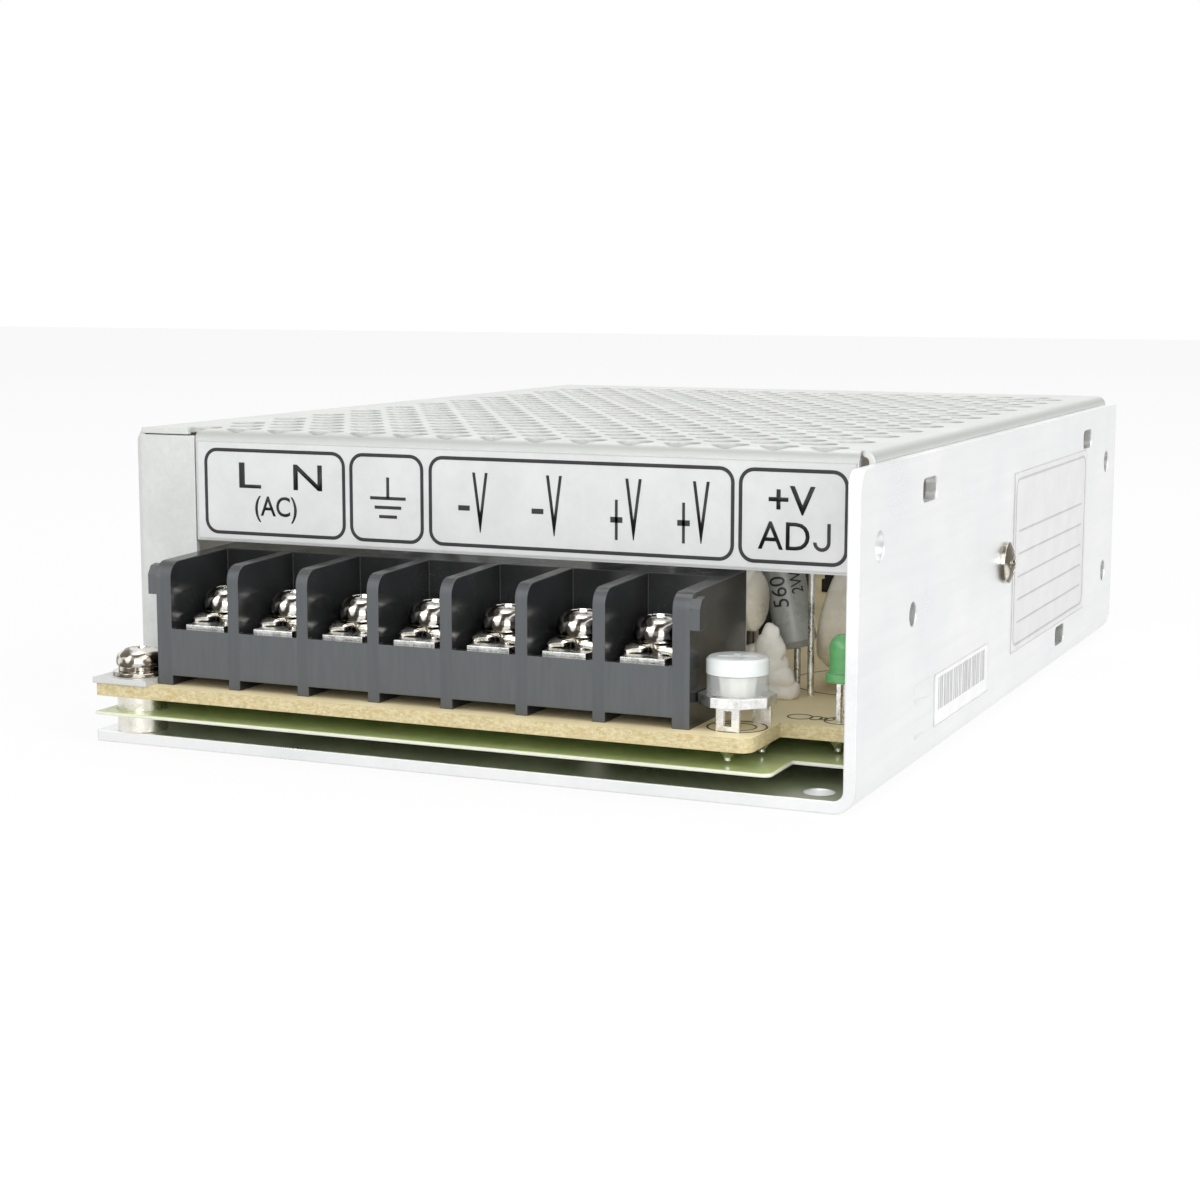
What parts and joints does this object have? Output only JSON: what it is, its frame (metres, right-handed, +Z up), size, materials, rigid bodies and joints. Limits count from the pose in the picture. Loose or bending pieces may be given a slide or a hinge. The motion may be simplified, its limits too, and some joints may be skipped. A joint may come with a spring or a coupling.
{
  "type": "enclosed switching power supply",
  "caption": "Mains switching power supply in a folded aluminium chassis with a perforated steel cover, a screw terminal block, a voltage trimmer and a lamp",
  "frame": {"origin": "middle of the case's underside, which is the mounting face", "axes": "+X right along the terminal end towards the chassis's side wall, +Y from the terminal end to the back, +Z up"},
  "size_m": [0.0988, 0.1434, 0.038],
  "materials": {
    "chassis_aluminium": "satin",
    "cover_steel": "galvanised",
    "marking_film": "printed film",
    "rating_film": "printed film",
    "serial_film": "printed film",
    "insulating_film": "translucent",
    "board_laminate": "paper laminate",
    "nickel_plate": "nickel plated",
    "screw_nickel": "nickel plated",
    "tin": "tinned",
    "block_plastic": "moulded",
    "milky_plastic": "milky translucent",
    "green_resin": "translucent",
    "grey_lacquer": "lacquer",
    "ivory_lacquer": "lacquer",
    "silicone": "silicone",
    "capacitor_sleeve": "shrink sleeve",
    "ceramic": "ceramic",
    "green_lacquer": "lacquer",
    "yellow_plastic": "moulded",
    "blue_lacquer": "lacquer",
    "copper_wire": "enamelled copper",
    "black_plastic": "moulded",
    "ferrite": "ferrite",
    "bobbin_plastic": "moulded",
    "winding_tape": "tape",
    "grey_pad": "silicone pad"
  },
  "bodies": {
    "case": {"chassis": "chassis_aluminium", "cover": "cover_steel", "front_label": "marking_film", "rating_label": "rating_film", "serial_label": "serial_film", "insulating_sheet": "insulating_film", "circuit_board": "board_laminate", "board_standoffs": "nickel_plate", "flat_washers": "nickel_plate", "spring_washers": "nickel_plate", "board_screws": "nickel_plate", "cover_screws": "nickel_plate", "solder_joints": "tin", "terminal_block": "block_plastic", "terminal_plates": "tin", "trimmer_frame": "tin", "trimmer_base": "milky_plastic", "lamp_lens": "green_resin", "lamp_leads": "tin", "load_resistor": "grey_lacquer", "resistor_leads": "tin", "snubber_capacitor": "ivory_lacquer", "silicone_beads": "silicone", "output_choke": "ivory_lacquer", "output_capacitors": "capacitor_sleeve", "fuse_tube": "ceramic", "fuse_caps": "tin", "inrush_thermistor": "green_lacquer", "mains_capacitor": "yellow_plastic", "safety_capacitors": "blue_lacquer", "line_choke_core": "green_lacquer", "line_choke_windings": "copper_wire", "bridge_rectifier": "black_plastic", "bulk_capacitors": "capacitor_sleeve", "switching_transistor": "black_plastic", "transistor_heatsink": "chassis_aluminium", "transformer_core": "ferrite", "transformer_bobbin": "bobbin_plastic", "transformer_winding": "winding_tape", "output_rectifier": "black_plastic", "rectifier_pad": "grey_pad", "rectifier_clamp": "nickel_plate", "rectifier_screw": "nickel_plate", "control_chips": "black_plastic"},
    "clamp_1": {"clamp_washer_1": "nickel_plate"},
    "clamp_2": {"clamp_washer_2": "nickel_plate"},
    "clamp_3": {"clamp_washer_3": "nickel_plate"},
    "clamp_4": {"clamp_washer_4": "nickel_plate"},
    "clamp_5": {"clamp_washer_5": "nickel_plate"},
    "clamp_6": {"clamp_washer_6": "nickel_plate"},
    "clamp_7": {"clamp_washer_7": "nickel_plate"},
    "screw_1": {"terminal_screw_1": "screw_nickel"},
    "screw_2": {"terminal_screw_2": "screw_nickel"},
    "screw_3": {"terminal_screw_3": "screw_nickel"},
    "screw_4": {"terminal_screw_4": "screw_nickel"},
    "screw_5": {"terminal_screw_5": "screw_nickel"},
    "screw_6": {"terminal_screw_6": "screw_nickel"},
    "screw_7": {"terminal_screw_7": "screw_nickel"},
    "trimmer_knob": {"trimmer_cap": "milky_plastic"}
  },
  "joints": [
    {"name": "clamp_lift_1", "type": "slide", "parent": "case", "child": "clamp_1", "axis": [0, 0, 1], "range_m": [0, 0.003]},
    {"name": "screw_turn_1", "type": "hinge", "parent": "clamp_1", "child": "screw_1", "pos_m": [-0.03375, -0.0628, 0.0175], "axis": [0, 0, 1], "range_deg": [0, 1800]},
    {"name": "clamp_lift_2", "type": "slide", "parent": "case", "child": "clamp_2", "axis": [0, 0, 1], "range_m": [0, 0.003]},
    {"name": "screw_turn_2", "type": "hinge", "parent": "clamp_2", "child": "screw_2", "pos_m": [-0.02425, -0.0628, 0.0175], "axis": [0, 0, 1], "range_deg": [0, 1800]},
    {"name": "clamp_lift_3", "type": "slide", "parent": "case", "child": "clamp_3", "axis": [0, 0, 1], "range_m": [0, 0.003]},
    {"name": "screw_turn_3", "type": "hinge", "parent": "clamp_3", "child": "screw_3", "pos_m": [-0.01475, -0.0628, 0.0175], "axis": [0, 0, 1], "range_deg": [0, 1800]},
    {"name": "clamp_lift_4", "type": "slide", "parent": "case", "child": "clamp_4", "axis": [0, 0, 1], "range_m": [0, 0.003]},
    {"name": "screw_turn_4", "type": "hinge", "parent": "clamp_4", "child": "screw_4", "pos_m": [-0.00525, -0.0628, 0.0175], "axis": [0, 0, 1], "range_deg": [0, 1800]},
    {"name": "clamp_lift_5", "type": "slide", "parent": "case", "child": "clamp_5", "axis": [0, 0, 1], "range_m": [0, 0.003]},
    {"name": "screw_turn_5", "type": "hinge", "parent": "clamp_5", "child": "screw_5", "pos_m": [0.00425, -0.0628, 0.0175], "axis": [0, 0, 1], "range_deg": [0, 1800]},
    {"name": "clamp_lift_6", "type": "slide", "parent": "case", "child": "clamp_6", "axis": [0, 0, 1], "range_m": [0, 0.003]},
    {"name": "screw_turn_6", "type": "hinge", "parent": "clamp_6", "child": "screw_6", "pos_m": [0.01375, -0.0628, 0.0175], "axis": [0, 0, 1], "range_deg": [0, 1800]},
    {"name": "clamp_lift_7", "type": "slide", "parent": "case", "child": "clamp_7", "axis": [0, 0, 1], "range_m": [0, 0.003]},
    {"name": "screw_turn_7", "type": "hinge", "parent": "clamp_7", "child": "screw_7", "pos_m": [0.02325, -0.0628, 0.0175], "axis": [0, 0, 1], "range_deg": [0, 1800]},
    {"name": "trimmer_turn", "type": "hinge", "parent": "case", "child": "trimmer_knob", "pos_m": [0.03345, -0.0654, 0.0145], "axis": [0, 0, 1], "range_deg": [-130, 130]}
  ],
  "couplings": [
    {"joint": "screw_turn_1", "follows": "clamp_lift_1", "rad_per_m": 10472},
    {"joint": "screw_turn_2", "follows": "clamp_lift_2", "rad_per_m": 10472},
    {"joint": "screw_turn_3", "follows": "clamp_lift_3", "rad_per_m": 10472},
    {"joint": "screw_turn_4", "follows": "clamp_lift_4", "rad_per_m": 10472},
    {"joint": "screw_turn_5", "follows": "clamp_lift_5", "rad_per_m": 10472},
    {"joint": "screw_turn_6", "follows": "clamp_lift_6", "rad_per_m": 10472},
    {"joint": "screw_turn_7", "follows": "clamp_lift_7", "rad_per_m": 10472}
  ]
}
